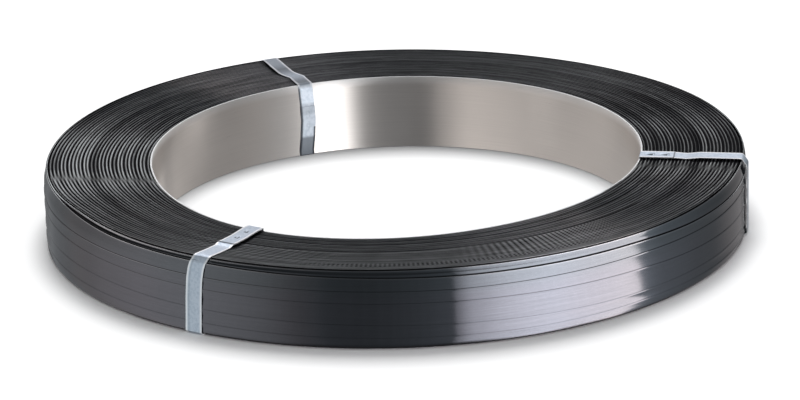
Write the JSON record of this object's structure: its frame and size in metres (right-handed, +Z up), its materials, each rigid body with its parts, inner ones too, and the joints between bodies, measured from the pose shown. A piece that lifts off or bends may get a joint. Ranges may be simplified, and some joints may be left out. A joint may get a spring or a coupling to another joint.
{
  "type": "steel strapping coil",
  "caption": "Wide flat coil of oscillation-wound steel strapping with a sheet-lined bore, held by galvanised tie bands and lying on its end face.",
  "frame": {"origin": "on the coil's axis, at the level of the floor under its tie bands", "axes": "+Z up along the bore's axis, +Y away from the picture's viewer, +X to its right"},
  "size_m": [0.58, 0.58, 0.067],
  "materials": {
    "blued_strap": "black and blued rolled strap, satin",
    "liner_sheet": "bright brushed sheet steel",
    "tie_steel": "galvanised band, satin"
  },
  "bodies": {
    "root": {"strap_coil": "blued_strap", "inner_liner": "liner_sheet", "tie_band_right": "tie_steel", "tie_band_back": "tie_steel", "tie_band_front_left": "tie_steel"}
  },
  "joints": []
}
